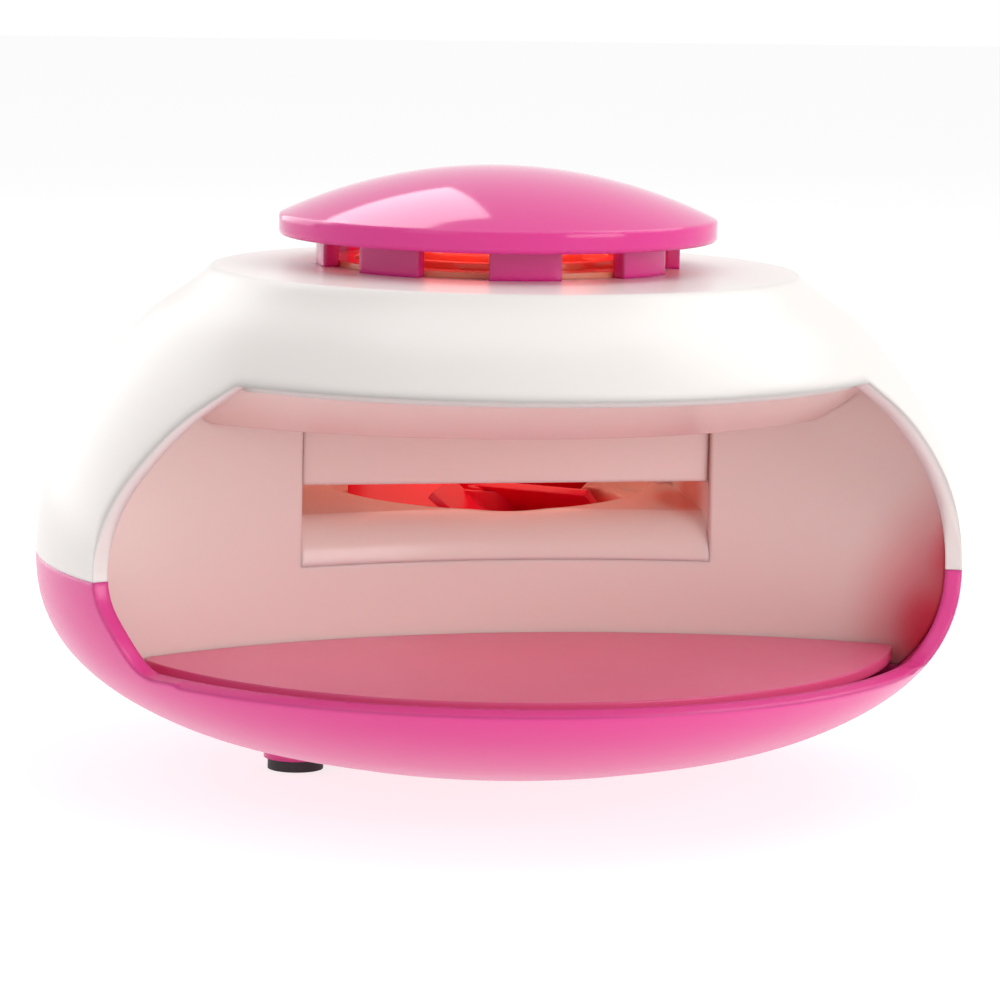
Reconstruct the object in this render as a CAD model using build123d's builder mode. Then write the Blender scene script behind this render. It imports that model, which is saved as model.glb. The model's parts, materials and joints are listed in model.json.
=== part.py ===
from build123d import *
import math
import os

os.makedirs("parts", exist_ok=True)

# Sizes are in millimetres. Each piece is drawn about the round body's own axis, with the floor
# at zero height, the finger opening facing -Y and +Z up. When it is written it moves in Y so
# that the origin lies on the floor under the middle of the whole object.

# Round body
BODY_RADIUS = 67.5
BOWL_FLAT = 28.9          # parting line down to the flat underside
BOWL_CURVE = 30.0         # depth of the curve the bowl follows
BOWL_FULLNESS = 2.4       # 2 is an ellipse, more is squarer
DOME_CURVE = 53.3         # height of the ellipse the white shell follows
DECK_RISE = 41.4          # parting line up to the flat deck
WALL = 2.4
DECK_WALL = 2.2
FLOOR_SHARE = 0.75        # the bowl's floor is this share of its side wall
FOOT_RISE = 3.8           # feet stand this far below the bowl
PART_Z = BOWL_FLAT + FOOT_RISE
DECK_Z = PART_Z + DECK_RISE
TONGUE = 1.1
TONGUE_HEIGHT = 1.5
TONGUE_PLAY = 0.15

# Finger opening: half angle of the cut at heights above the parting line
OPENING_SIDES = (
    (-16, 57.0), (-12.5, 60.5), (-8, 64.5), (-4, 67.0), (0, 68.4), (7, 67.7),
    (13, 65.3), (19.5, 61.0), (24.3, 56.8), (28.4, 51.8), (31, 47.5),
)
OPENING_REACH = 220.0
TONGUE_FRONT = 2 - BODY_RADIUS * math.cos(math.radians(max(half for rise, half in OPENING_SIDES)))
OPENING_TOP = 28.4
LIP_RISE = -12.0          # inner edge of the lip, above the parting line
LIP_SLOPE = 0.36
LIP_RADIUS = BODY_RADIUS - 6.6

# Liner that forms the finger space
LINER_WALL = 1.6
LINER_GAP = 0.1
BACK_Y = -1.0             # middle of the concave back wall
BACK_RADIUS = 104.0
LEDGE_Z = PART_Z - 15.0   # bottom edge of the back wall
LEDGE_EXTRA = 0.4         # the ledge below is this much thicker
CEILING_Z = PART_Z + 20.3
TRAY_RISE = 7.4
TRAY_LOW_RADIUS = BODY_RADIUS - 9.5
TRAY_LOW_Y = 26.5
TRAY_HIGH_RADIUS = BODY_RADIUS - 13.2

# Air duct behind the back wall
DUCT_HALF = 30.3
DUCT_ROUND = 28.5
DUCT_Y = 23.0
DUCT_SIDE_Y = 3.0
DUCT_SIDE_LONG = 30.0
DUCT_FRONT_LONG = 28.0
DUCT_FRONT_Z = PART_Z - 1.3
DUCT_ROOF_Z = PART_Z + 27.0
DUCT_SPLIT_Z = PART_Z + 10.4   # duct floor below, duct wall above
DUCT_INLET = 18.5
DUCT_INLET_Y = 9.0
RAMP_FOOT = (BACK_Y, DUCT_FRONT_Z)
RAMP_MID = (BACK_Y + 1.15, PART_Z + 2.9)
RAMP_TOP = (3.6, PART_Z + 5.6)
RAMP_BACK = (60.0, DUCT_SPLIT_Z)
RAMP_UNDER = (BACK_Y + LINER_WALL + 0.9, RAMP_MID[1] - 0.9)
DUCT_CUT = 2 * DUCT_HALF
WALL_AXIS = Axis((0, BACK_Y - BACK_RADIUS, 0), (0, 0, 1))

# Baffle plate hanging in the duct mouth
BAFFLE_HALF = 30.0
BAFFLE_Y = -3.6
BAFFLE_THICK = 1.4
BAFFLE_BOTTOM = PART_Z + 10.5
BAFFLE_PLAY = 0.1
BAFFLE_HOOK = 3.0
BAFFLE_HOOK_THICK = 1.2

# Fan and motor
FAN_X = 2.5
FAN_Y = 25.0
WELL_RADIUS = 21.5
WELL_WALL = 1.4
WELL_FLOOR_Z = 32.5
WELL_BOTTOM_Z = 31.0
WELL_TOP_Z = PART_Z + 8.0
MOUTH_TOP_Z = PART_Z + 10.0     # above the rear end of the duct floor
MOUTH_LONG = 25.8         # the well flares to an oval mouth in the duct floor
MOUTH_SHORT = 22.1
MOUTH_Z = 37.0
FAN_RADIUS = 20.3
FAN_BOTTOM = 33.7
FAN_TOP = PART_Z + 6.0
HUB_RADIUS = 5.6
HUB_RING = 1.1
HUB_SINK = 2.2
HUB_BOSS = 2.2
BLADE_COUNT = 5
BLADE_CHORD = 10.5
BLADE_LIFT = 0.4
BLADE_TURN = 248.0
BLADE_THICK = 1.1
BLADE_PITCH = -37.0
SHAFT_RADIUS = 1.0
SHAFT_SINK = 0.6
SHAFT_PLAY = 0.04
SHAFT_BOTTOM = 19.2
MOTOR_RADIUS = 12.2
MOTOR_SKIN = 0.8
MOTOR_BELL_Z = 20.2
MOTOR_BOTTOM = 18.7
ROTOR_RADIUS = 9.0
ROTOR_SLOTS = 3
ROTOR_SLOT_DEEP = 3.2
ROTOR_SLOT_WIDE = 1.6
ROTOR_Z = (22.0, 28.6)
BUSH_RADIUS = 3.0
BUSH_Z = (29.4, 32.4)
TERMINAL_Y = (-2.0, 4.0)
TERMINAL_REACH = 15.0
TERMINAL_ROOT = 10.0
TERMINAL_WIDE = 2.0
TERMINAL_THICK = 0.5
TERMINAL_Z = 19.85
CLAMP_PLAY = 0.05
CLAMP_WALL = 1.5
CLAMP_WINDOW_WIDE = 12.0
CLAMP_WINDOW_TALL = 4.0
CLAMP_LIP = 0.65
CLAMP_BOTTOM = MOTOR_BOTTOM - CLAMP_LIP - CLAMP_PLAY
CLAMP_ARM = 25.5
CLAMP_ARM_WIDE = 8.0
CLAMP_ARM_THICK = 1.6
CLAMP_BOSS = 3.0

# Screws that close the body
POST_RADIUS = 3.6
SIDE_POST = (BODY_RADIUS - 26.5, 14.0)
BACK_POST = (0.0, BODY_RADIUS - 10.1)
TAB_Z = PART_Z + 5.3
SCREW_SHANK = 1.2
SCREW_PILOT = SCREW_SHANK
SCREW_CLEAR = 1.5
SCREW_SLOT_LONG = 3.0
SCREW_SLOT_WIDE = 0.6
SCREW_SLOT_DEEP = 0.8
SCREW_HEAD = 2.3
SCREW_SINK = 2.8
SCREW_SEAT = 17.0
SCREW_LENGTH = 32.0
SCREW_HEAD_TALL = 1.6
SMALL_SHANK = 0.9
SMALL_SLOT_LONG = 2.6
SMALL_SLOT_WIDE = 0.5
SMALL_SLOT_DEEP = 0.6
SMALL_PILOT = SMALL_SHANK
SMALL_CLEAR = 1.1
SMALL_HEAD = 2.0
SMALL_LENGTH = 6.0
SMALL_HEAD_TALL = 1.3

# Press plate on the floor of the finger space
PLATE_TOP = PART_Z - 12.0
PLATE_THICK = 1.6
PLATE_INSET = 2.4
PLATE_GAP = 0.5
PLATE_CORNER = 3.0
PLATE_TRAVEL = 1.2
PLATE_BOTTOM = PLATE_TOP - PLATE_THICK
LEG = (25.0, -23.0)
LEG_RADIUS = 2.0
LEG_PLAY = 0.08
BARB_RADIUS = 2.9
BARB_TALL = 1.2
TOWER_RADIUS = 4.6
TOWER_BORE = 3.4
TOWER_TOP = 13.5
TOWER_CAP = 1.5
BARB_PLAY = 0.1
PLATE_SPRING_RADIUS = 3.3
SPRING_WIRE = 0.3
PLATE_SPRING_TURNS = 3.5

# Switch under the press plate
SWITCH_Y = -27.0
SWITCH_SIZE = (8.0, 6.0)
SWITCH_Z = (9.0, 14.0)
PLUNGER_RADIUS = 1.5
PLUNGER_PLAY = 0.05
PLUNGER_Z = (11.2, 16.5)
PLUNGER_WELL = 9.7
STRIKER_RADIUS = 2.2

# Battery bay
CELL_RADIUS = 5.25
CELL_LENGTH = 43.7
CELL_NUB = 1.9
CELL_NUB_LONG = 0.8
CELL_Z = 12.1
CELL_PITCH = 2 * CELL_RADIUS + 0.7
CELL_SPRING_LONG = 5.3
CELL_SPRING_RADIUS = 3.2
CELL_SPRING_TURNS = 3.5
CONTACT_THICK = 0.5
CONTACT_WIDE = 9.0
CONTACT_Z = (7.8, 18.9)
BAY_HALF_X = (CELL_LENGTH + CELL_NUB_LONG + CELL_SPRING_LONG) / 2 + CONTACT_THICK
BAY_HALF_Y = CELL_PITCH / 2 + CELL_RADIUS + 0.25
BAY_WALL = 1.4
BAY_TOP = 17.6
BAY_Y = BACK_Y + 1.5 + BAY_WALL + BAY_HALF_Y
BAR_X = BAY_HALF_X - 6.4
BAR_WIDE = 3.0
BAR_Z = (CELL_Z + CELL_RADIUS + 0.1, 18.6)

# Battery door in the underside
DOOR_HALF_X = BAY_HALF_X - 1.6
DOOR_HALF_Y = BAY_HALF_Y + 0.5
DOOR_SKIN = 1.0
DOOR_PLAY = 0.2
DOOR_LEDGE = 1.3
DOOR_CORNER = 2.5
DOOR_RIB_X = 11.0
DOOR_RIB_WIDE = 1.6
DOOR_GRIP_RADIUS = 7.0

# Feet
FRONT_FOOT = (29.0, 5.0)
BACK_FOOT = (20.0, 38.0)
PAD_RADIUS = 4.1
PAD_TALL = 2.4
PAD_SINK = 0.7
PAD_PLAY = 0.05
FOOT_RADIUS = 4.7
FRONT_FOOT_TOP = 6.4
BACK_FOOT_TOP = 9.6
FOOT_BOTTOM = PAD_TALL - PAD_SINK

# Cap over the air intake
CAP_Y = 5.0               # the cap and its intake sit this far behind the body's axis
CAP_RADIUS = 32.0
CAP_GAP = 4.2
CAP_EDGE_Z = DECK_Z + CAP_GAP
CAP_RIM = 3.0
CAP_DOME = 7.35
CAP_WALL = 2.0
CAP_EDGE_ROUND = 0.5
INTAKE_RADIUS = 22.5
RING_OUT = 26.6
RING_IN = 24.4
RING_BOTTOM = CAP_EDGE_Z + 0.8
RING_TALL = 1.6
RING_POSTS = 8
RING_POST_ANGLE = 22.5
RING_TURN = -93.5
PIN_RADIUS = 0.9
PIN_PLAY = 0.05
PIN_STICK = 0.6
GRILLE_FLANGE = 24.1
GRILLE_FLANGE_TALL = 0.9
GRILLE_RINGS = ((16.2, 18.4, 1.7), (10.2, 12.4, 2.3))
GRILLE_HUB = (5.5, 2.6)
GRILLE_SPOKES = 6
GRILLE_SPOKE_WIDE = 1.5
GRILLE_DROP = 1.4
GRILLE_LEDGE = 1.6

# Wires
WIRE_RADIUS = 0.6
WIRE_BEND = 1.5
WIRE_Z = BAY_TOP + WIRE_RADIUS + 0.1
WIRE_LOW_Z = 11.0
WIRE_NOTCH = (-BAY_HALF_X - 11.1, -BAY_HALF_X - 1.6, 11.5, 16.6)
WIRE_NOTCH_LONG = 12.0
WIRE_SET = (3.2, 6.6)
WIRE_STEP = 3.5
WIRE_DIVE_Y = -4.0
WIRE_DIVE_Z = 14.3
WIRE_IN = 8.5
WIRE_CROSS_Y = (-13.0, -17.5)
PIN_PITCH = 3.8


def bowl_radius(drop, gap):
    """Radius of the bowl at a drop below the parting line, moved inward by the gap."""
    depth = BOWL_CURVE - gap * FLOOR_SHARE
    return (BODY_RADIUS - gap) * (1 - (drop / depth) ** BOWL_FULLNESS) ** (1 / BOWL_FULLNESS)


def dome_radius(rise, gap):
    """Radius of the white shell at a rise above the parting line, moved inward by the gap."""
    height = DOME_CURVE - gap
    return (BODY_RADIUS - gap) * math.sqrt(1 - (rise / height) ** 2)


def bowl_volume(gap):
    """Solid bowl shape below the parting line, moved inward by the gap."""
    bottom = BOWL_FLAT - gap * FLOOR_SHARE
    shares = (0, 0.2, 0.4, 0.6, 0.75, 0.87, 0.95, 1)
    points = [(bowl_radius(bottom * share, gap), PART_Z - bottom * share) for share in shares]
    with BuildPart() as volume:
        with BuildSketch(Plane.XZ):
            with BuildLine():
                Polyline((0, PART_Z - bottom), (0, PART_Z), points[0])
                Spline(*points, tangents=((0, -1), (-1, -0.12)))
                Line(points[-1], (0, PART_Z - bottom))
            make_face()
        revolve(axis=Axis.Z)
    return volume.part


def dome_volume(gap, top):
    """Solid white shell shape from the parting line up to a flat top."""
    shares = (0, 0.25, 0.5, 0.7, 0.85, 1)
    points = [(dome_radius(top * share, gap), PART_Z + top * share) for share in shares]
    with BuildPart() as volume:
        with BuildSketch(Plane.XZ):
            with BuildLine():
                Polyline((0, PART_Z + top), (0, PART_Z), points[0])
                Spline(*points, tangents=((0, 1), (-1, 1.0)))
                Line(points[-1], (0, PART_Z + top))
            make_face()
        revolve(axis=Axis.Z)
    return volume.part


def coil(radius, wire, length, turns, start, along):
    """Round wire coil of the given clear length from a start point along a direction."""
    pitch = (length - 2 * wire) / turns
    first = Vector(*start) + Vector(*along) * wire
    with BuildPart() as spring:
        with BuildLine() as path:
            Helix(
                pitch=pitch, height=pitch * turns, radius=radius, center=first, direction=along
            )
        with BuildSketch(Plane(origin=path.line @ 0, z_dir=path.line % 0)):
            Circle(wire)
        sweep()
    return spring.part


def wire(points):
    """Round wire through the points with rounded corners."""
    with BuildPart() as lead:
        with BuildLine() as path:
            FilletPolyline(*points, radius=WIRE_BEND)
        with BuildSketch(Plane(origin=path.line @ 0, z_dir=path.line % 0)):
            Circle(WIRE_RADIUS)
        sweep()
    return lead.part


def finish(part, name):
    """Move a piece from the body's own axis into the shared frame, label it and write its file."""
    placed = part.moved(Location((0, -middle_y, 0)))
    placed.label = name
    export_step(placed, f"parts/{name}.step")


plate_radius = bowl_radius(PART_Z - PLATE_BOTTOM, WALL) - PLATE_INSET
bowl_outer = bowl_volume(0)
bowl_inner = bowl_volume(WALL)
bowl_skin = bowl_volume(DOOR_SKIN / FLOOR_SHARE)
dome_outer = dome_volume(0, DECK_RISE)
dome_inner = dome_volume(WALL, DECK_RISE - DECK_WALL)
room_low = bowl_volume(WALL + LINER_GAP)
room_high = dome_volume(WALL + LINER_GAP, DECK_RISE - DECK_WALL - LINER_GAP)

# Tool that cuts the finger opening through both shells
with BuildPart() as opening:
    for height, angle in OPENING_SIDES:
        side = OPENING_REACH * math.sin(math.radians(angle))
        front = -OPENING_REACH * math.cos(math.radians(angle))
        with BuildSketch(Plane.XY.offset(PART_Z + height)):
            with BuildLine():
                Polyline((0, 0), (side, front), (-side, front), close=True)
            make_face()
    loft()
    with BuildSketch(Plane.XZ):
        with BuildLine():
            Polyline(
                (0, PART_Z + LIP_RISE + LIP_SLOPE * LIP_RADIUS),
                (2 * OPENING_REACH, PART_Z + LIP_RISE - LIP_SLOPE * (2 * OPENING_REACH - LIP_RADIUS)),
                (0, -2 * OPENING_REACH),
                close=True,
            )
        make_face()
    revolve(axis=Axis.Z, mode=Mode.SUBTRACT)
    with BuildSketch(Plane.XY.offset(PART_Z + OPENING_TOP)):
        Circle(2 * OPENING_REACH)
    extrude(amount=WALL + 10, mode=Mode.SUBTRACT)

# Posts, ribs and bay walls that stand inside the bowl
with BuildPart() as bowl_fittings:
    with BuildSketch():
        with Locations((SIDE_POST[0], SIDE_POST[1]), (-SIDE_POST[0], SIDE_POST[1])):
            Circle(POST_RADIUS)
    extrude(amount=TAB_Z)
    with BuildSketch():
        with Locations(BACK_POST):
            Circle(POST_RADIUS)
    extrude(amount=PART_Z)
    with BuildSketch():
        with Locations((0, BACK_Y - BACK_RADIUS)):
            Circle(BACK_RADIUS + LINER_WALL + LEDGE_EXTRA)
            Circle(BACK_RADIUS, mode=Mode.SUBTRACT)
        Rectangle(2 * BODY_RADIUS, 2 * BODY_RADIUS, mode=Mode.INTERSECT)
    extrude(amount=LEDGE_Z)
    with BuildSketch(Plane.XY.offset(WIRE_NOTCH[2])):
        with Locations(((WIRE_NOTCH[0] + WIRE_NOTCH[1]) / 2, -WIRE_NOTCH_LONG / 2)):
            Rectangle(WIRE_NOTCH[1] - WIRE_NOTCH[0], WIRE_NOTCH_LONG)
    extrude(amount=WIRE_NOTCH[3] - WIRE_NOTCH[2], mode=Mode.SUBTRACT)
    with BuildSketch():
        with Locations((0, BAY_Y)):
            Rectangle(2 * (BAY_HALF_X + BAY_WALL), 2 * (BAY_HALF_Y + BAY_WALL))
            Rectangle(2 * BAY_HALF_X, 2 * BAY_HALF_Y, mode=Mode.SUBTRACT)
    extrude(amount=BAY_TOP)
    with BuildSketch(Plane.XY.offset(BAR_Z[0])):
        with Locations((BAR_X, BAY_Y), (-BAR_X, BAY_Y)):
            Rectangle(BAR_WIDE, 2 * (BAY_HALF_Y + BAY_WALL))
    extrude(amount=BAR_Z[1] - BAR_Z[0])
    with BuildSketch():
        with Locations(LEG, (-LEG[0], LEG[1])):
            Circle(TOWER_RADIUS)
    extrude(amount=TOWER_TOP)
    with BuildSketch():
        with Locations(LEG, (-LEG[0], LEG[1])):
            Circle(TOWER_BORE)
    extrude(amount=TOWER_TOP - TOWER_CAP, mode=Mode.SUBTRACT)
    with BuildSketch():
        with Locations(LEG, (-LEG[0], LEG[1])):
            Circle(LEG_RADIUS + LEG_PLAY)
    extrude(amount=TOWER_TOP, mode=Mode.SUBTRACT)
    with BuildSketch():
        with Locations((0, SWITCH_Y)):
            Rectangle(*SWITCH_SIZE)
    extrude(amount=SWITCH_Z[0])

with BuildPart() as bowl_reach:
    add(bowl_outer)
    with BuildSketch(Plane.XY.offset(PART_Z - DOOR_SKIN)):
        Circle(BODY_RADIUS - 2 * WALL)
    extrude(amount=TAB_Z - PART_Z + 2 * DOOR_SKIN)

with BuildPart() as lower_shell:
    add(bowl_outer)
    add(bowl_inner, mode=Mode.SUBTRACT)
    add(bowl_fittings.part.intersect(bowl_reach.part))
    with BuildSketch(Plane.XY.offset(PART_Z - TONGUE)):
        Circle(BODY_RADIUS - WALL + TONGUE)
        Circle(BODY_RADIUS - WALL, mode=Mode.SUBTRACT)
        with Locations((0, TONGUE_FRONT - BODY_RADIUS)):
            Rectangle(2 * BODY_RADIUS, 2 * BODY_RADIUS, mode=Mode.SUBTRACT)
    extrude(amount=TONGUE + TONGUE_HEIGHT)
    add(opening.part, mode=Mode.SUBTRACT)
    with BuildSketch(Plane.XY.offset(FOOT_BOTTOM)):
        with Locations(FRONT_FOOT, (-FRONT_FOOT[0], FRONT_FOOT[1])):
            Circle(FOOT_RADIUS)
    extrude(amount=FRONT_FOOT_TOP - FOOT_BOTTOM)
    with BuildSketch(Plane.XY.offset(FOOT_BOTTOM)):
        with Locations(BACK_FOOT, (-BACK_FOOT[0], BACK_FOOT[1])):
            Circle(FOOT_RADIUS)
    extrude(amount=BACK_FOOT_TOP - FOOT_BOTTOM)
    with BuildSketch():
        with Locations(
            FRONT_FOOT, (-FRONT_FOOT[0], FRONT_FOOT[1]), BACK_FOOT, (-BACK_FOOT[0], BACK_FOOT[1])
        ):
            Circle(PAD_RADIUS + PAD_PLAY)
    extrude(amount=PAD_TALL, mode=Mode.SUBTRACT)
    with BuildSketch():
        with Locations(SIDE_POST, (-SIDE_POST[0], SIDE_POST[1]), BACK_POST):
            Circle(SCREW_SINK)
    extrude(amount=SCREW_SEAT, mode=Mode.SUBTRACT)
    with BuildSketch():
        with Locations(SIDE_POST, (-SIDE_POST[0], SIDE_POST[1]), BACK_POST):
            Circle(SCREW_CLEAR)
    extrude(amount=TAB_Z + 1, mode=Mode.SUBTRACT)
    with BuildSketch():
        with Locations((0, BAY_Y)):
            RectangleRounded(
                2 * (DOOR_HALF_X - DOOR_LEDGE), 2 * (DOOR_HALF_Y - DOOR_LEDGE), DOOR_CORNER
            )
    extrude(amount=BAY_TOP - 6, mode=Mode.SUBTRACT)
    with Locations(
        (0, BAY_Y - CELL_PITCH / 2, CELL_Z), (0, BAY_Y + CELL_PITCH / 2, CELL_Z)
    ):
        Cylinder(
            CELL_RADIUS + PAD_PLAY, 2 * (BAY_HALF_X - CONTACT_THICK), rotation=(0, 90, 0), mode=Mode.SUBTRACT
        )

# The shallow recess the door sits in is cut only as deep as the door skin
with BuildPart() as door_recess:
    with BuildSketch():
        with Locations((0, BAY_Y)):
            RectangleRounded(2 * DOOR_HALF_X, 2 * DOOR_HALF_Y, DOOR_CORNER)
        with Locations((0, BAY_Y + DOOR_HALF_Y)):
            Circle(DOOR_GRIP_RADIUS / 2)
    extrude(amount=BAY_TOP)
    add(bowl_skin, mode=Mode.SUBTRACT)

with BuildPart() as bowl_piece:
    add(lower_shell.part)
    add(door_recess.part, mode=Mode.SUBTRACT)

# The front lip is shorter than the back, so the middle of the object lies behind the body's axis
middle_y = bowl_piece.part.bounding_box().center().Y
finish(bowl_piece.part, "lower_shell")

with BuildPart() as battery_door:
    with BuildSketch():
        with Locations((0, BAY_Y)):
            RectangleRounded(
                2 * (DOOR_HALF_X - DOOR_PLAY), 2 * (DOOR_HALF_Y - DOOR_PLAY), DOOR_CORNER
            )
    extrude(amount=BAY_TOP)
    add(bowl_outer, mode=Mode.INTERSECT)
    add(bowl_skin, mode=Mode.SUBTRACT)
    with BuildSketch(Plane.XY.offset(FOOT_RISE + DOOR_SKIN / 2)):
        with Locations((DOOR_RIB_X, BAY_Y), (-DOOR_RIB_X, BAY_Y)):
            Rectangle(DOOR_RIB_WIDE, 2 * (DOOR_HALF_Y - DOOR_LEDGE - DOOR_PLAY))
    extrude(amount=CELL_Z - CELL_RADIUS / 2 - FOOT_RISE - DOOR_SKIN / 2)
    with Locations(
        (0, BAY_Y - CELL_PITCH / 2, CELL_Z), (0, BAY_Y + CELL_PITCH / 2, CELL_Z)
    ):
        Cylinder(CELL_RADIUS + PAD_PLAY, CELL_LENGTH, rotation=(0, 90, 0), mode=Mode.SUBTRACT)
finish(battery_door.part, "battery_door")

with BuildPart() as upper_shell:
    with BuildSketch():
        with Locations(SIDE_POST, (-SIDE_POST[0], SIDE_POST[1])):
            Circle(POST_RADIUS)
    extrude(amount=DECK_Z)
    with BuildSketch():
        Rectangle(2 * BODY_RADIUS, 2 * BODY_RADIUS)
    extrude(amount=TAB_Z + LINER_WALL, mode=Mode.SUBTRACT)
    with BuildSketch(Plane.XY.offset(PART_Z)):
        with Locations(BACK_POST):
            Circle(POST_RADIUS)
    extrude(amount=DECK_RISE)
    add(dome_outer, mode=Mode.INTERSECT)
    with BuildSketch(Plane.XY.offset(PART_Z)):
        with Locations(SIDE_POST, (-SIDE_POST[0], SIDE_POST[1]), BACK_POST):
            Circle(SCREW_PILOT)
    extrude(amount=SCREW_SEAT + SCREW_LENGTH + 1 - PART_Z, mode=Mode.SUBTRACT)
    add(dome_outer.cut(dome_inner))
    with BuildSketch(Plane.XY.offset(PART_Z)):
        Circle(BODY_RADIUS - WALL + TONGUE + TONGUE_PLAY)
        Circle(BODY_RADIUS - 2 * WALL, mode=Mode.SUBTRACT)
        with Locations((0, TONGUE_FRONT - TONGUE_PLAY - BODY_RADIUS)):
            Rectangle(2 * BODY_RADIUS, 2 * BODY_RADIUS, mode=Mode.SUBTRACT)
    extrude(amount=TONGUE_HEIGHT + TONGUE_PLAY, mode=Mode.SUBTRACT)
    with BuildSketch(Plane.XY.offset(DECK_Z)):
        with Locations((0, CAP_Y)):
            Circle(INTAKE_RADIUS)
            with PolarLocations((RING_OUT + RING_IN) / 2, RING_POSTS, start_angle=RING_TURN):
                Circle(PIN_RADIUS + PIN_PLAY)
    extrude(amount=-DECK_WALL, mode=Mode.SUBTRACT)
    add(opening.part, mode=Mode.SUBTRACT)
finish(upper_shell.part, "upper_shell")

# Air space of the duct, used to hollow the liner
with BuildPart() as duct_void:
    with BuildSketch(Plane.XY.offset(WELL_BOTTOM_Z - 5)):
        with Locations((0, DUCT_SIDE_Y)):
            Rectangle(2 * DUCT_HALF, DUCT_SIDE_LONG)
        with Locations((0, DUCT_Y)):
            Circle(DUCT_ROUND)
        with Locations((0, BACK_Y - BACK_RADIUS)):
            Circle(BACK_RADIUS + LINER_WALL, mode=Mode.SUBTRACT)
    extrude(amount=DUCT_ROOF_Z - WELL_BOTTOM_Z + 5)
    with BuildSketch(Plane.XY.offset(DUCT_FRONT_Z)):
        with Locations((0, -DUCT_FRONT_LONG / 2 + RAMP_TOP[0] + WELL_WALL)):
            Rectangle(2 * DUCT_HALF, DUCT_FRONT_LONG)
    extrude(amount=CEILING_Z - DUCT_FRONT_Z)
    with BuildSketch(Plane.YZ):
        with BuildLine():
            Polyline((-DUCT_CUT, DUCT_ROOF_Z), (-DUCT_CUT, DUCT_FRONT_Z), RAMP_FOOT)
            ThreePointArc(RAMP_FOOT, RAMP_MID, RAMP_TOP)
            Polyline(RAMP_TOP, RAMP_BACK, (RAMP_BACK[0], DUCT_ROOF_Z), (-DUCT_CUT, DUCT_ROOF_Z))
        make_face()
    revolve(axis=WALL_AXIS, mode=Mode.INTERSECT)

with BuildPart() as cavity_liner:
    with BuildSketch(Plane.XY.offset(WELL_BOTTOM_Z)):
        with Locations((0, DUCT_SIDE_Y)):
            Rectangle(2 * (DUCT_HALF + LINER_WALL), DUCT_SIDE_LONG + 2 * LINER_WALL)
        with Locations((0, DUCT_Y)):
            Circle(DUCT_ROUND + LINER_WALL)
        with Locations((0, BACK_Y - BACK_RADIUS)):
            Circle(BACK_RADIUS, mode=Mode.SUBTRACT)
    extrude(amount=DUCT_ROOF_Z + LINER_WALL - WELL_BOTTOM_Z)
    with BuildSketch(Plane.YZ):
        with BuildLine():
            skin_y = BACK_Y + LINER_WALL
            skin_top = (RAMP_TOP[0] + 0.3, RAMP_TOP[1] - LINER_WALL)
            Polyline((skin_y, 0), (skin_y, RAMP_FOOT[1]))
            ThreePointArc((skin_y, RAMP_FOOT[1]), RAMP_UNDER, skin_top)
            Polyline(skin_top, (RAMP_BACK[0], RAMP_BACK[1] - LINER_WALL), (RAMP_BACK[0], 0), (skin_y, 0))
        make_face()
    revolve(axis=WALL_AXIS, mode=Mode.SUBTRACT)
    with BuildSketch(Plane.XY.offset(WELL_BOTTOM_Z)):
        with Locations((FAN_X, FAN_Y)):
            Circle(WELL_RADIUS + WELL_WALL)
        with Locations((FAN_X - CLAMP_ARM, FAN_Y), (FAN_X + CLAMP_ARM, FAN_Y)):
            Circle(CLAMP_BOSS)
    extrude(amount=WELL_TOP_Z - WELL_BOTTOM_Z)
    with BuildSketch(Plane.XY.offset(MOUTH_Z - WELL_WALL)):
        with Locations((FAN_X, FAN_Y)):
            Ellipse(MOUTH_LONG + WELL_WALL, MOUTH_SHORT + WELL_WALL)
    extrude(amount=WELL_TOP_Z - MOUTH_Z + WELL_WALL)
    with BuildSketch(Plane.XY.offset(TAB_Z)):
        with Locations((0, SIDE_POST[1])):
            Rectangle(2 * (SIDE_POST[0] + POST_RADIUS), 2 * POST_RADIUS)
            Rectangle(2 * DUCT_HALF, 4 * POST_RADIUS, mode=Mode.SUBTRACT)
    extrude(amount=LINER_WALL)
    with BuildSketch(Plane.XY.offset(LEDGE_Z)):
        with Locations((0, BACK_Y - BACK_RADIUS)):
            Circle(BACK_RADIUS + LINER_WALL)
            Circle(BACK_RADIUS, mode=Mode.SUBTRACT)
        Rectangle(2 * BODY_RADIUS, 2 * BODY_RADIUS, mode=Mode.INTERSECT)
    extrude(amount=CEILING_Z + TRAY_RISE + LINER_WALL - LEDGE_Z)
    with BuildSketch(Plane.XY.offset(WELL_FLOOR_Z)):
        with Locations((FAN_X, FAN_Y)):
            Circle(WELL_RADIUS)
    extrude(amount=MOUTH_TOP_Z - WELL_FLOOR_Z, mode=Mode.SUBTRACT)
    with BuildSketch(Plane.XY.offset(MOUTH_Z)):
        with Locations((FAN_X, FAN_Y)):
            Ellipse(MOUTH_LONG, MOUTH_SHORT)
    extrude(amount=MOUTH_TOP_Z - MOUTH_Z, mode=Mode.SUBTRACT)
    with BuildSketch(Plane.XY.offset(WELL_BOTTOM_Z)):
        with Locations((FAN_X, FAN_Y)):
            Circle(BUSH_RADIUS)
        with Locations((FAN_X - CLAMP_ARM, FAN_Y), (FAN_X + CLAMP_ARM, FAN_Y)):
            Circle(SMALL_PILOT)
    extrude(amount=SMALL_LENGTH - 1, mode=Mode.SUBTRACT)
    add(duct_void.part, mode=Mode.SUBTRACT)
    with BuildSketch(Plane.XY.offset(DUCT_ROOF_Z)):
        with Locations((0, DUCT_INLET_Y)):
            Circle(DUCT_INLET)
    extrude(amount=LINER_WALL, mode=Mode.SUBTRACT)
    with BuildSketch(Plane.XY.offset(TAB_Z)):
        with Locations(SIDE_POST, (-SIDE_POST[0], SIDE_POST[1])):
            Circle(SCREW_CLEAR)
    extrude(amount=LINER_WALL, mode=Mode.SUBTRACT)

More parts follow.
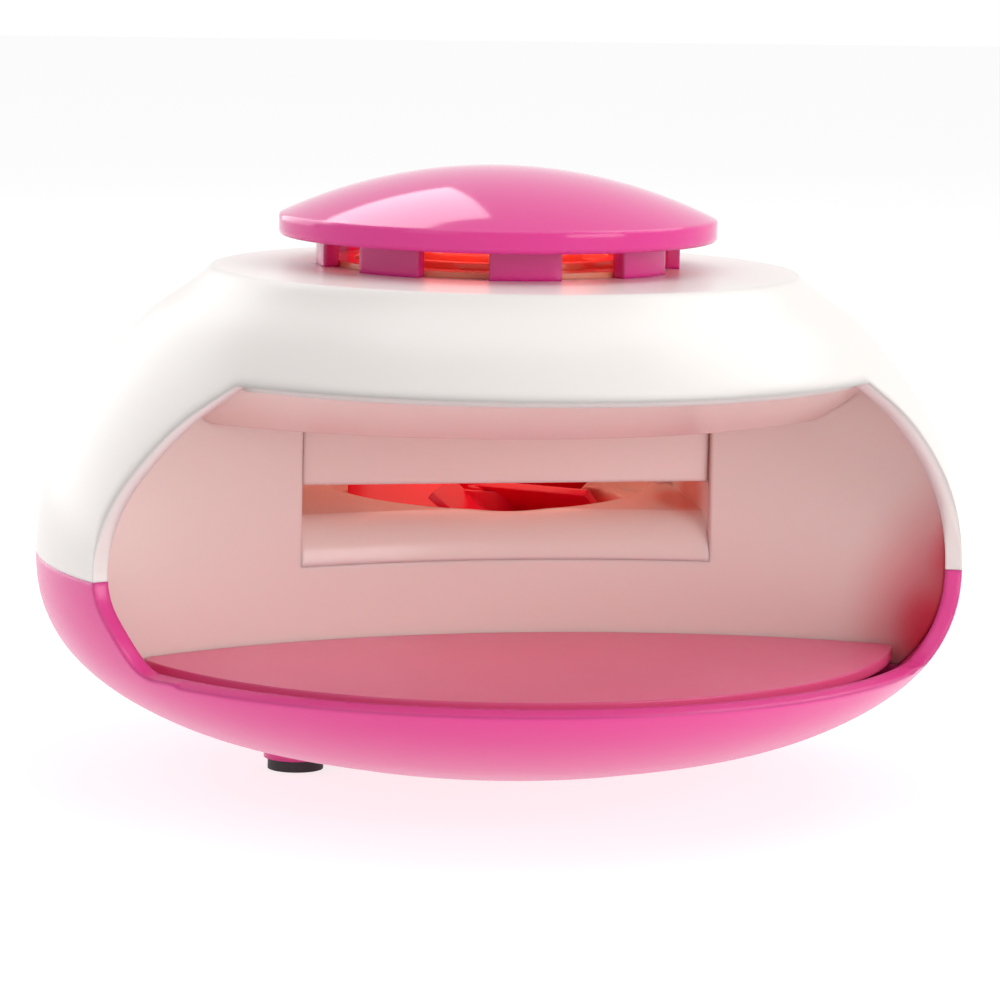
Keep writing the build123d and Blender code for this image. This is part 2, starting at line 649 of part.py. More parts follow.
# Dished ceiling that climbs from the flat middle to the top edge of the opening
with BuildPart() as ceiling:
    with BuildSketch(Plane.XY.offset(CEILING_Z)):
        with Locations((0, TRAY_LOW_Y)):
            Circle(TRAY_LOW_RADIUS)
    with BuildSketch(Plane.XY.offset(CEILING_Z + TRAY_RISE)):
        Circle(TRAY_HIGH_RADIUS)
    loft()
with BuildPart() as ceiling_hollow:
    with BuildSketch(Plane.XY.offset(CEILING_Z + LINER_WALL)):
        with Locations((0, TRAY_LOW_Y)):
            Circle(TRAY_LOW_RADIUS - LINER_WALL)
    with BuildSketch(Plane.XY.offset(CEILING_Z + LINER_WALL + TRAY_RISE)):
        Circle(TRAY_HIGH_RADIUS - LINER_WALL / 2)
    loft()
with BuildPart() as tray:
    add(ceiling.part)
    add(ceiling_hollow.part, mode=Mode.SUBTRACT)
    with BuildSketch(Plane.XY.offset(CEILING_Z)):
        with Locations((0, BACK_Y - BACK_RADIUS)):
            Circle(BACK_RADIUS + LINER_WALL / 2)
    extrude(amount=TRAY_RISE, mode=Mode.INTERSECT)

with BuildPart() as liner_piece:
    add(cavity_liner.part)
    add(tray.part)
    with BuildSketch(Plane.XY.offset(CEILING_Z)):
        with Locations((0, BAFFLE_Y)):
            Rectangle(2 * (BAFFLE_HALF + BAFFLE_PLAY), BAFFLE_THICK + 2 * BAFFLE_PLAY)
    extrude(amount=LINER_WALL, mode=Mode.SUBTRACT)
    with BuildSketch(Plane.XY.offset(CEILING_Z + LINER_WALL)):
        with Locations((0, BAFFLE_Y - BAFFLE_HOOK / 2 + BAFFLE_THICK / 2)):
            Rectangle(
                2 * (BAFFLE_HALF + BAFFLE_PLAY), BAFFLE_THICK + BAFFLE_HOOK + 2 * BAFFLE_PLAY
            )
    extrude(amount=BAFFLE_HOOK_THICK + BAFFLE_PLAY, mode=Mode.SUBTRACT)
    add(room_low.fuse(room_high), mode=Mode.INTERSECT)

# The liner is what stands in front of the back wall's rear face, but for the ramp in the duct mouth
with BuildPart() as wall_face:
    with BuildSketch():
        with Locations((0, BACK_Y - BACK_RADIUS)):
            Circle(BACK_RADIUS + LINER_WALL)
    extrude(amount=DECK_Z)
    with BuildSketch(Plane.XY.offset(DUCT_FRONT_Z)):
        Rectangle(2 * DUCT_HALF, DUCT_HALF)
    extrude(amount=CEILING_Z - DUCT_FRONT_Z, mode=Mode.SUBTRACT)
with BuildPart() as roof_space:
    with BuildSketch(Plane.XY.offset(DUCT_ROOF_Z)):
        Circle(BODY_RADIUS)
    extrude(amount=DECK_Z - DUCT_ROOF_Z)
with BuildPart() as wall_space:
    with BuildSketch(Plane.XY.offset(DUCT_SPLIT_Z)):
        Circle(BODY_RADIUS)
    extrude(amount=DUCT_ROOF_Z - DUCT_SPLIT_Z)
with BuildPart() as finger_liner:
    add(liner_piece.part)
    add(wall_face.part, mode=Mode.INTERSECT)
finish(finger_liner.part, "cavity_liner")
with BuildPart() as fan_duct:
    add(liner_piece.part)
    add(wall_face.part, mode=Mode.SUBTRACT)
    add(roof_space.part, mode=Mode.SUBTRACT)
    add(wall_space.part, mode=Mode.SUBTRACT)
finish(fan_duct.part, "fan_duct")
with BuildPart() as duct_wall:
    add(liner_piece.part)
    add(wall_face.part, mode=Mode.SUBTRACT)
    add(wall_space.part, mode=Mode.INTERSECT)
finish(duct_wall.part, "duct_wall")
with BuildPart() as duct_roof:
    add(liner_piece.part)
    add(wall_face.part, mode=Mode.SUBTRACT)
    add(roof_space.part, mode=Mode.INTERSECT)
finish(duct_roof.part, "duct_roof")

with BuildPart() as baffle_plate:
    with BuildSketch(Plane.XY.offset(BAFFLE_BOTTOM)):
        with Locations((0, BAFFLE_Y)):
            Rectangle(2 * BAFFLE_HALF, BAFFLE_THICK)
    extrude(amount=CEILING_Z + LINER_WALL + BAFFLE_HOOK_THICK - BAFFLE_BOTTOM)
    with BuildSketch(Plane.XY.offset(CEILING_Z + LINER_WALL)):
        with Locations((0, BAFFLE_Y - BAFFLE_HOOK / 2 + BAFFLE_THICK / 2)):
            Rectangle(2 * BAFFLE_HALF, BAFFLE_HOOK + BAFFLE_THICK)
    extrude(amount=BAFFLE_HOOK_THICK)
finish(baffle_plate.part, "baffle_plate")

with BuildPart() as press_plate:
    with BuildSketch(Plane.XY.offset(PLATE_BOTTOM)):
        Circle(plate_radius)
        with Locations((0, BACK_Y - BACK_RADIUS)):
            Circle(BACK_RADIUS - PLATE_GAP, mode=Mode.INTERSECT)
    extrude(amount=PLATE_THICK)
    fillet(press_plate.edges().filter_by(Axis.Z), PLATE_CORNER)
    with BuildSketch(Plane.XY.offset(TOWER_TOP - TOWER_CAP - BARB_TALL - BARB_PLAY)):
        with Locations(LEG, (-LEG[0], LEG[1])):
            Circle(LEG_RADIUS)
    extrude(amount=PLATE_BOTTOM - TOWER_TOP + TOWER_CAP + BARB_TALL + BARB_PLAY)
    with BuildSketch(Plane.XY.offset(TOWER_TOP - TOWER_CAP - BARB_TALL - BARB_PLAY)):
        with Locations(LEG, (-LEG[0], LEG[1])):
            Circle(BARB_RADIUS)
    extrude(amount=BARB_TALL)
    with BuildSketch(Plane.XY.offset(PLUNGER_Z[1])):
        with Locations((0, SWITCH_Y)):
            Circle(STRIKER_RADIUS)
    extrude(amount=PLATE_BOTTOM - PLUNGER_Z[1])
finish(press_plate.part, "press_plate")

for name, side in (("plate_spring_left", -1), ("plate_spring_right", 1)):
    spring_long = PLATE_BOTTOM - TOWER_TOP
    foot = (side * LEG[0], LEG[1], TOWER_TOP)
    spring = coil(
        PLATE_SPRING_RADIUS, SPRING_WIRE, spring_long, PLATE_SPRING_TURNS, foot, (0, 0, 1)
    )
    finish(spring, name)

with BuildPart() as switch_body:
    with BuildSketch(Plane.XY.offset(SWITCH_Z[0])):
        with Locations((0, SWITCH_Y)):
            Rectangle(*SWITCH_SIZE)
    extrude(amount=SWITCH_Z[1] - SWITCH_Z[0])
    with BuildSketch(Plane.XY.offset(PLUNGER_WELL)):
        with Locations((0, SWITCH_Y)):
            Circle(PLUNGER_RADIUS + PLUNGER_PLAY)
    extrude(amount=SWITCH_Z[1] - PLUNGER_WELL, mode=Mode.SUBTRACT)
finish(switch_body.part, "switch_body")

with BuildPart() as switch_plunger:
    with BuildSketch(Plane.XY.offset(PLUNGER_Z[0])):
        with Locations((0, SWITCH_Y)):
            Circle(PLUNGER_RADIUS)
    extrude(amount=PLUNGER_Z[1] - PLUNGER_Z[0])
finish(switch_plunger.part, "switch_plunger")

# Fan wheel
with BuildPart() as fan_wheel:
    with BuildSketch(Plane.XY.offset(FAN_BOTTOM)):
        with Locations((FAN_X, FAN_Y)):
            Circle(HUB_RADIUS)
    extrude(amount=FAN_TOP - FAN_BOTTOM)
    for blade in range(BLADE_COUNT):
        turn = 360 / BLADE_COUNT * blade + BLADE_TURN
        with Locations(Location((FAN_X, FAN_Y, (FAN_BOTTOM + FAN_TOP) / 2 + BLADE_LIFT), (0, 0, turn))):
            with Locations(Location(((FAN_RADIUS + HUB_RADIUS / 2) / 2, 0, 0), (BLADE_PITCH, 0, 0))):
                Box(FAN_RADIUS - HUB_RADIUS / 2 + 2, BLADE_CHORD, BLADE_THICK)
    with BuildSketch(Plane.XY.offset(FAN_BOTTOM - 1)):
        with Locations((FAN_X, FAN_Y)):
            Circle(FAN_RADIUS)
    extrude(amount=FAN_TOP - FAN_BOTTOM + 3, mode=Mode.INTERSECT)
    with BuildSketch(Plane.XY.offset(FAN_TOP + 3)):
        with Locations((FAN_X, FAN_Y)):
            Circle(HUB_RADIUS - HUB_RING)
            Circle(HUB_BOSS, mode=Mode.SUBTRACT)
    extrude(amount=-HUB_SINK - 3, mode=Mode.SUBTRACT)
    with BuildSketch(Plane.XY.offset(FAN_BOTTOM)):
        with Locations((FAN_X, FAN_Y)):
            Circle(SHAFT_RADIUS)
    extrude(amount=FAN_TOP - FAN_BOTTOM + 3, mode=Mode.SUBTRACT)
finish(fan_wheel.part, "fan_wheel")

with BuildPart() as motor_shaft:
    with BuildSketch(Plane.XY.offset(SHAFT_BOTTOM)):
        with Locations((FAN_X, FAN_Y)):
            Circle(SHAFT_RADIUS)
    extrude(amount=FAN_TOP - SHAFT_SINK - SHAFT_BOTTOM)
finish(motor_shaft.part, "motor_shaft")

with BuildPart() as motor_rotor:
    with BuildSketch(Plane.XY.offset(ROTOR_Z[0])):
        with Locations((FAN_X, FAN_Y)):
            Circle(ROTOR_RADIUS)
            Circle(SHAFT_RADIUS, mode=Mode.SUBTRACT)
            with PolarLocations(ROTOR_RADIUS, ROTOR_SLOTS):
                Rectangle(ROTOR_SLOT_DEEP, ROTOR_SLOT_WIDE, mode=Mode.SUBTRACT)
    extrude(amount=ROTOR_Z[1] - ROTOR_Z[0])
finish(motor_rotor.part, "motor_rotor")

with BuildPart() as motor_can:
    with BuildSketch(Plane.XY.offset(MOTOR_BELL_Z)):
        with Locations((FAN_X, FAN_Y)):
            Circle(MOTOR_RADIUS)
    extrude(amount=WELL_BOTTOM_Z - MOTOR_BELL_Z)
    with BuildSketch(Plane.XY.offset(MOTOR_BELL_Z)):
        with Locations((FAN_X, FAN_Y)):
            Circle(MOTOR_RADIUS - MOTOR_SKIN)
    extrude(amount=WELL_BOTTOM_Z - MOTOR_BELL_Z - MOTOR_SKIN, mode=Mode.SUBTRACT)
    with BuildSketch(Plane.XY.offset(MOTOR_BELL_Z)):
        with Locations((FAN_X, FAN_Y)):
            Circle(BUSH_RADIUS)
    extrude(amount=WELL_BOTTOM_Z - MOTOR_BELL_Z, mode=Mode.SUBTRACT)
finish(motor_can.part, "motor_can")

with BuildPart() as motor_bush:
    with BuildSketch(Plane.XY.offset(BUSH_Z[0])):
        with Locations((FAN_X, FAN_Y)):
            Circle(BUSH_RADIUS)
            Circle(SHAFT_RADIUS + SHAFT_PLAY, mode=Mode.SUBTRACT)
    extrude(amount=BUSH_Z[1] - BUSH_Z[0])
finish(motor_bush.part, "motor_bush")

with BuildPart() as motor_terminals:
    with BuildSketch(Plane.XY.offset(TERMINAL_Z - TERMINAL_THICK / 2)):
        with Locations(
            (FAN_X + (TERMINAL_ROOT + TERMINAL_REACH) / 2, FAN_Y + TERMINAL_Y[0]),
            (FAN_X + (TERMINAL_ROOT + TERMINAL_REACH) / 2, FAN_Y + TERMINAL_Y[1]),
        ):
            Rectangle(TERMINAL_REACH - TERMINAL_ROOT, TERMINAL_WIDE)
    extrude(amount=TERMINAL_THICK)
finish(motor_terminals.part, "motor_terminals")

with BuildPart() as motor_end_bell:
    with BuildSketch(Plane.XY.offset(MOTOR_BOTTOM)):
        with Locations((FAN_X, FAN_Y)):
            Circle(MOTOR_RADIUS)
    extrude(amount=MOTOR_BELL_Z - MOTOR_BOTTOM)
    with BuildSketch(Plane.XY.offset(MOTOR_BELL_Z)):
        with Locations((FAN_X, FAN_Y)):
            Circle(MOTOR_RADIUS - MOTOR_SKIN)
    extrude(amount=1)
    with BuildSketch(Plane.XY.offset(SHAFT_BOTTOM - SHAFT_PLAY)):
        with Locations((FAN_X, FAN_Y)):
            Circle(SHAFT_RADIUS + SHAFT_PLAY)
    extrude(amount=MOTOR_BELL_Z, mode=Mode.SUBTRACT)
    add(motor_terminals.part, mode=Mode.SUBTRACT)
finish(motor_end_bell.part, "motor_end_bell")

with BuildPart() as motor_clamp:
    with BuildSketch(Plane.XY.offset(CLAMP_BOTTOM)):
        with Locations((FAN_X, FAN_Y)):
            Circle(MOTOR_RADIUS + CLAMP_PLAY + CLAMP_WALL)
    extrude(amount=WELL_BOTTOM_Z - CLAMP_BOTTOM)
    with BuildSketch(Plane.XY.offset(WELL_BOTTOM_Z)):
        with Locations((FAN_X, FAN_Y)):
            SlotCenterToCenter(2 * CLAMP_ARM, CLAMP_ARM_WIDE)
    extrude(amount=-CLAMP_ARM_THICK)
    with BuildSketch(Plane.XY.offset(CLAMP_BOTTOM + CLAMP_LIP)):
        with Locations((FAN_X, FAN_Y)):
            Circle(MOTOR_RADIUS + CLAMP_PLAY)
    extrude(amount=WELL_BOTTOM_Z - CLAMP_BOTTOM, mode=Mode.SUBTRACT)
    with BuildSketch(Plane.XY.offset(CLAMP_BOTTOM)):
        with Locations((FAN_X, FAN_Y)):
            Circle(MOTOR_RADIUS - 2 * CLAMP_WALL)
        with Locations((FAN_X + MOTOR_RADIUS, FAN_Y + (TERMINAL_Y[0] + TERMINAL_Y[1]) / 2)):
            Rectangle(MOTOR_RADIUS, CLAMP_WINDOW_WIDE)
    extrude(amount=CLAMP_WINDOW_TALL, mode=Mode.SUBTRACT)
    with BuildSketch(Plane.XY.offset(WELL_BOTTOM_Z)):
        with Locations((FAN_X - CLAMP_ARM, FAN_Y), (FAN_X + CLAMP_ARM, FAN_Y)):
            Circle(SMALL_CLEAR)
    extrude(amount=-CLAMP_ARM_THICK, mode=Mode.SUBTRACT)
finish(motor_clamp.part, "motor_clamp")

with BuildPart() as clamp_screws:
    with BuildSketch(Plane.XY.offset(WELL_BOTTOM_Z - CLAMP_ARM_THICK)):
        with Locations((FAN_X - CLAMP_ARM, FAN_Y), (FAN_X + CLAMP_ARM, FAN_Y)):
            Circle(SMALL_SHANK)
    extrude(amount=SMALL_LENGTH)
    with BuildSketch(Plane.XY.offset(WELL_BOTTOM_Z - CLAMP_ARM_THICK)):
        with Locations((FAN_X - CLAMP_ARM, FAN_Y), (FAN_X + CLAMP_ARM, FAN_Y)):
            Circle(SMALL_HEAD)
    extrude(amount=-SMALL_HEAD_TALL)
    with BuildSketch(Plane.XY.offset(WELL_BOTTOM_Z - CLAMP_ARM_THICK - SMALL_HEAD_TALL)):
        with Locations((FAN_X - CLAMP_ARM, FAN_Y), (FAN_X + CLAMP_ARM, FAN_Y)):
            Rectangle(SMALL_SLOT_LONG, SMALL_SLOT_WIDE)
            Rectangle(SMALL_SLOT_WIDE, SMALL_SLOT_LONG)
    extrude(amount=SMALL_SLOT_DEEP, mode=Mode.SUBTRACT)
finish(clamp_screws.part, "clamp_screws")

with BuildPart() as body_screws:
    with BuildSketch(Plane.XY.offset(SCREW_SEAT)):
        with Locations(SIDE_POST, (-SIDE_POST[0], SIDE_POST[1]), BACK_POST):
            Circle(SCREW_SHANK)
    extrude(amount=SCREW_LENGTH)
    with BuildSketch(Plane.XY.offset(SCREW_SEAT)):
        with Locations(SIDE_POST, (-SIDE_POST[0], SIDE_POST[1]), BACK_POST):
            Circle(SCREW_HEAD)
    extrude(amount=-SCREW_HEAD_TALL)
    with BuildSketch(Plane.XY.offset(SCREW_SEAT - SCREW_HEAD_TALL)):
        with Locations(SIDE_POST, (-SIDE_POST[0], SIDE_POST[1]), BACK_POST):
            Rectangle(SCREW_SLOT_LONG, SCREW_SLOT_WIDE)
            Rectangle(SCREW_SLOT_WIDE, SCREW_SLOT_LONG)
    extrude(amount=SCREW_SLOT_DEEP, mode=Mode.SUBTRACT)
finish(body_screws.part, "body_screws")

# Battery cells: the front cell points right, the rear cell points left
CELL_END = BAY_HALF_X - CONTACT_THICK
CELL_TAIL = CELL_END - CELL_NUB_LONG - CELL_LENGTH
for name, side, row in (("battery_cell_front", 1, -1), ("battery_cell_rear", -1, 1)):
    place = Plane(
        origin=(side * CELL_TAIL, BAY_Y + row * CELL_PITCH / 2, CELL_Z), z_dir=(side, 0, 0)
    )
    with BuildPart() as cell:
        with BuildSketch(place):
            Circle(CELL_RADIUS)
        extrude(amount=CELL_LENGTH)
        with BuildSketch(place.offset(CELL_LENGTH)):
            Circle(CELL_NUB)
        extrude(amount=CELL_NUB_LONG)
    finish(cell.part, name)

for name, side, row in (
    ("contact_front_left", -1, -1), ("contact_front_right", 1, -1),
    ("contact_rear_left", -1, 1), ("contact_rear_right", 1, 1),
):
    middle = side * (BAY_HALF_X - CONTACT_THICK / 2)
    with BuildPart() as contact:
        with BuildSketch(Plane.XY.offset(CONTACT_Z[0])):
            with Locations((middle, BAY_Y + row * CELL_PITCH / 2)):
                Rectangle(CONTACT_THICK, CONTACT_WIDE)
        extrude(amount=CONTACT_Z[1] - CONTACT_Z[0])
    finish(contact.part, name)

for name, side, row in (("cell_spring_front", -1, -1), ("cell_spring_rear", 1, 1)):
    seat = (side * CELL_END, BAY_Y + row * CELL_PITCH / 2, CELL_Z)
    spring_long = CELL_SPRING_LONG
    spring = coil(
        CELL_SPRING_RADIUS, SPRING_WIRE, spring_long, CELL_SPRING_TURNS, seat, (-side, 0, 0)
    )
    finish(spring, name)

# Wires
ROW_FRONT = BAY_Y - CELL_PITCH / 2
ROW_REAR = BAY_Y + CELL_PITCH / 2
SWITCH_BACK = SWITCH_Y + SWITCH_SIZE[1] / 2
TERMINAL_X = FAN_X + TERMINAL_REACH
PLUS_X = BAY_HALF_X + WIRE_SET[1]
MINUS_X = BAY_HALF_X + WIRE_SET[0]
FRONT_X = -BAY_HALF_X - BAY_WALL - WIRE_SET[0]
REAR_X = FRONT_X - WIRE_STEP
finish(wire([
    (BAY_HALF_X, ROW_FRONT, WIRE_Z), (PLUS_X, ROW_FRONT, WIRE_Z),
    (PLUS_X, FAN_Y + TERMINAL_Y[1], TERMINAL_Z), (TERMINAL_X, FAN_Y + TERMINAL_Y[1], TERMINAL_Z),
]), "wire_motor_plus")
finish(wire([
    (BAY_HALF_X, ROW_REAR, WIRE_Z), (MINUS_X, ROW_REAR, WIRE_Z),
    (MINUS_X, FAN_Y + TERMINAL_Y[0], TERMINAL_Z), (TERMINAL_X, FAN_Y + TERMINAL_Y[0], TERMINAL_Z),
]), "wire_motor_minus")
finish(wire([
    (-BAY_HALF_X, ROW_FRONT, WIRE_Z), (FRONT_X, ROW_FRONT, WIRE_Z), (FRONT_X, WIRE_DIVE_Y, WIRE_DIVE_Z),
    (FRONT_X + WIRE_IN, WIRE_CROSS_Y[0], WIRE_LOW_Z), (PIN_PITCH / 2, WIRE_CROSS_Y[0], WIRE_LOW_Z),
    (PIN_PITCH / 2, SWITCH_BACK, WIRE_LOW_Z),
]), "wire_switch_front")
finish(wire([
    (-BAY_HALF_X, ROW_REAR, WIRE_Z), (REAR_X, ROW_REAR, WIRE_Z), (REAR_X, WIRE_DIVE_Y, WIRE_DIVE_Z),
    (REAR_X + WIRE_IN, WIRE_CROSS_Y[1], WIRE_LOW_Z), (-PIN_PITCH / 2, WIRE_CROSS_Y[1], WIRE_LOW_Z),
    (-PIN_PITCH / 2, SWITCH_BACK, WIRE_LOW_Z),
]), "wire_switch_rear")

FEET = (
    ("foot_front_left", -1, FRONT_FOOT), ("foot_front_right", 1, FRONT_FOOT),
    ("foot_back_left", -1, BACK_FOOT), ("foot_back_right", 1, BACK_FOOT),
)
for name, side, (foot_x, foot_y) in FEET:
    with BuildPart() as pad:
        with BuildSketch():
            with Locations((side * foot_x, foot_y)):
                Circle(PAD_RADIUS)
        extrude(amount=PAD_TALL)
    finish(pad.part, name)

# Cap and intake
cap_deck = Plane(origin=(0, CAP_Y, DECK_Z))
with BuildPart() as post_ring:
    with BuildSketch(cap_deck.offset(RING_BOTTOM - DECK_Z)):
        Circle(RING_OUT)
        Circle(RING_IN, mode=Mode.SUBTRACT)
    extrude(amount=RING_TALL)
    with BuildSketch(cap_deck):
        for post in range(RING_POSTS):
            middle = math.radians(360 / RING_POSTS * post + RING_TURN)
            half = math.radians(RING_POST_ANGLE / 2)
            reach = 2 * RING_OUT
            with BuildLine():
                Polyline(
                    (0, 0),
                    (reach * math.cos(middle - half), reach * math.sin(middle - half)),
                    (reach * math.cos(middle + half), reach * math.sin(middle + half)),
                    close=True,
                )
            make_face()
        Circle(RING_OUT, mode=Mode.INTERSECT)
        Circle(RING_IN, mode=Mode.SUBTRACT)
    extrude(amount=RING_BOTTOM - DECK_Z)
    with BuildSketch(cap_deck):
        with PolarLocations((RING_OUT + RING_IN) / 2, RING_POSTS, start_angle=RING_TURN):
            Circle(PIN_RADIUS)
    extrude(amount=-DECK_WALL - PIN_STICK)
finish(post_ring.part, "post_ring")

with BuildPart() as cap:
    for radius, low, rise, mode in (
        (CAP_RADIUS, CAP_RIM, CAP_DOME, Mode.ADD),
        (CAP_RADIUS - CAP_WALL, CAP_RIM - CAP_WALL / 2, CAP_DOME - CAP_WALL / 2, Mode.SUBTRACT),
    ):
        ball = (radius ** 2 + rise ** 2) / (2 * rise)
        crown = CAP_EDGE_Z + low + rise
        shoulder = crown - ball + math.sqrt(ball ** 2 - (radius / 2) ** 2)
        with BuildSketch(Plane.XZ):
            with BuildLine():
                Polyline((0, crown), (0, CAP_EDGE_Z), (radius, CAP_EDGE_Z), (radius, CAP_EDGE_Z + low))
                ThreePointArc((radius, CAP_EDGE_Z + low), (radius / 2, shoulder), (0, crown))
            make_face()
        revolve(axis=Axis.Z, mode=mode)
    with BuildSketch(Plane.XY.offset(RING_BOTTOM + RING_TALL)):
        Circle(RING_OUT)
        Circle(RING_IN, mode=Mode.SUBTRACT)
    extrude(amount=CAP_EDGE_Z + CAP_RIM + CAP_WALL / 2 - RING_BOTTOM - RING_TALL)
    rim = cap.edges().filter_by(GeomType.CIRCLE).sort_by(Axis.Z)
    rim = [edge for edge in rim if abs(edge.radius - CAP_RADIUS) < CAP_EDGE_ROUND / 10]
    fillet(rim, CAP_EDGE_ROUND)
finish(cap.part.moved(Location((0, CAP_Y, 0))), "cap")

with BuildPart() as intake_grille:
    with BuildSketch(cap_deck):
        Circle(GRILLE_FLANGE)
        Circle(INTAKE_RADIUS - GRILLE_LEDGE, mode=Mode.SUBTRACT)
    extrude(amount=GRILLE_FLANGE_TALL)
    for ring_in, ring_out, ring_top in GRILLE_RINGS:
        with BuildSketch(cap_deck.offset(-GRILLE_DROP)):
            Circle(ring_out)
            Circle(ring_in, mode=Mode.SUBTRACT)
        extrude(amount=GRILLE_DROP + ring_top)
    with BuildSketch(cap_deck.offset(-GRILLE_DROP)):
        Circle(GRILLE_HUB[0])
    extrude(amount=GRILLE_DROP + GRILLE_HUB[1])
    with BuildSketch(cap_deck.offset(-GRILLE_DROP)):
        with PolarLocations(0, GRILLE_SPOKES // 2, angular_range=180):
            Rectangle(2 * (INTAKE_RADIUS - PIN_PLAY), GRILLE_SPOKE_WIDE)
    extrude(amount=GRILLE_DROP + GRILLE_FLANGE_TALL)
finish(intake_grille.part, "intake_grille")
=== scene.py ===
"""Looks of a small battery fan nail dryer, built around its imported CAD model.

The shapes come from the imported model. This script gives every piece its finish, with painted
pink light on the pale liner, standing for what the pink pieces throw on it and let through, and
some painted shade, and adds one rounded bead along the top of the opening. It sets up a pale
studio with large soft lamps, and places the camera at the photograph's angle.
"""

import json
import logging
import math
from dataclasses import dataclass, field
from enum import Enum
from typing import Sequence

import bmesh
import bpy
import numpy as np
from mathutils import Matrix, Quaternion, Vector

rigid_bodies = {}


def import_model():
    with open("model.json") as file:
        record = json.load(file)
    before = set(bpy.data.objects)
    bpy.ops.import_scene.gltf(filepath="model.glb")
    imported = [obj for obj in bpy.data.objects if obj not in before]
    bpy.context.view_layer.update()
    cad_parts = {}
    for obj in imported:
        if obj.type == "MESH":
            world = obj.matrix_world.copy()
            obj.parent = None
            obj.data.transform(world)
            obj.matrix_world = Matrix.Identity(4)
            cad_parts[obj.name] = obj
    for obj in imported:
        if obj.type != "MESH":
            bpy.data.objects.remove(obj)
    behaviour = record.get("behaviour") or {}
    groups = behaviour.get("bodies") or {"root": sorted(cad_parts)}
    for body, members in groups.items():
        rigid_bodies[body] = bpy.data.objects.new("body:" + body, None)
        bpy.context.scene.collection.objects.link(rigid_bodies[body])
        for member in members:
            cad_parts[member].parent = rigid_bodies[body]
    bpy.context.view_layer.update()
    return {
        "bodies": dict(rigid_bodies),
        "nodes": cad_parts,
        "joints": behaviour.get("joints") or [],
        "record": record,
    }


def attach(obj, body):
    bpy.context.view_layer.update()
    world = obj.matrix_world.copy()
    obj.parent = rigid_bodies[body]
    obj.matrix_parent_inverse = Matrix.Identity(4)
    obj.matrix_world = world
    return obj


LOG = logging.getLogger("nail_dryer")
MM = 0.001

# Sockets of a Mix node that is set to colours
MIX_SHARE, MIX_FIRST, MIX_SECOND, MIX_COLOUR = 0, 6, 7, 2

Colour = tuple[float, float, float]
Point = tuple[float, float, float]


def from_screen(red: int, green: int, blue: int) -> Colour:
    """Turn a colour as a screen shows it into the linear values that shaders use.

    Each channel is divided by 255 and undone by the usual screen curve: a straight line
    near black and a power of 2.4 above it.

    Args:
        red: Red, 0 to 255.
        green: Green, 0 to 255.
        blue: Blue, 0 to 255.

    Returns:
        The linear red, green and blue.
    """
    share = np.array([red, green, blue], float) / 255
    linear = np.where(share <= 0.04045, share / 12.92, ((share + 0.055) / 1.055) ** 2.4)
    return float(linear[0]), float(linear[1]), float(linear[2])


def outward(azimuth: float, height: float) -> Vector:
    """Give the direction from the dryer to a lamp or to the camera.

    Args:
        azimuth: Degrees from the front, counted towards the right.
        height: Degrees above the horizon.

    Returns:
        The direction, one long.
    """
    turn, rise = math.radians(azimuth), math.radians(height)
    level = math.cos(rise)
    return Vector((math.sin(turn) * level, -math.cos(turn) * level, math.sin(rise)))


class Feel(Enum):
    """How a surface is made, which decides its shader."""

    MOULDED = "moulded plastic"
    METAL = "metal"
    SOFT = "rubber or vinyl"


@dataclass(frozen=True)
class PaintedLight:
    """A soft-edged egg of painted pink light mixed into a finish, standing for light that pink
    pieces throw on it or let through.

    `middle` and `reach` are in millimetres along X, Y and Z. The tint is full up to `core`
    of the reach and gone at its rim.
    """

    middle: Point
    reach: Point
    tint: Colour
    share: float
    core: float = 0.4


